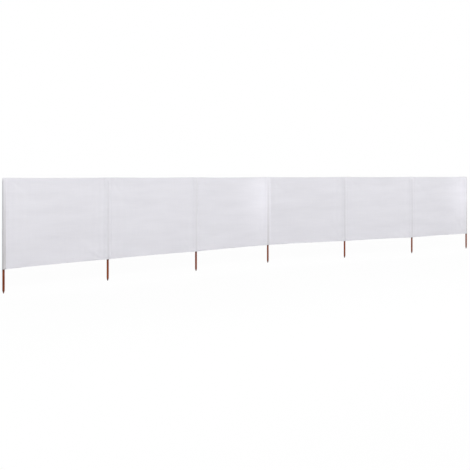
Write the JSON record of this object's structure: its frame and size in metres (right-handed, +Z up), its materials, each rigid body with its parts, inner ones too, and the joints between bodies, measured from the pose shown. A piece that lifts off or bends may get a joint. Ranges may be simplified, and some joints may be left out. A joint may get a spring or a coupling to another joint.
{
  "type": "fabric windbreak",
  "caption": "Fabric windbreak: taut off-white cloth bays sewn to pole pockets on round wooden poles with pointed stake ends, set in a gently bent row to screen wind and view.",
  "frame": {"origin": "On the small flat at the driven end of the middle pole.", "axes": "+X runs along the row from its first pole to its last, +Y points to the back of the screen, +Z is up."},
  "size_m": [7.9288, 0.4761, 1.2],
  "materials": {
    "wood": "reddish brown varnished softwood, turned round",
    "cloth": "off-white plain weave polyester, hemmed and sewn"
  },
  "bodies": {
    "root": {"pole_1": "wood", "pole_2": "wood", "pole_3": "wood", "pole_4": "wood", "pole_5": "wood", "pole_6": "wood", "pole_7": "wood", "pole_pocket_1": "cloth", "pole_pocket_2": "cloth", "pole_pocket_3": "cloth", "pole_pocket_4": "cloth", "pole_pocket_5": "cloth", "pole_pocket_6": "cloth", "pole_pocket_7": "cloth", "cloth_panel_1": "cloth", "cloth_panel_2": "cloth", "cloth_panel_3": "cloth", "cloth_panel_4": "cloth", "cloth_panel_5": "cloth", "cloth_panel_6": "cloth"}
  },
  "joints": []
}
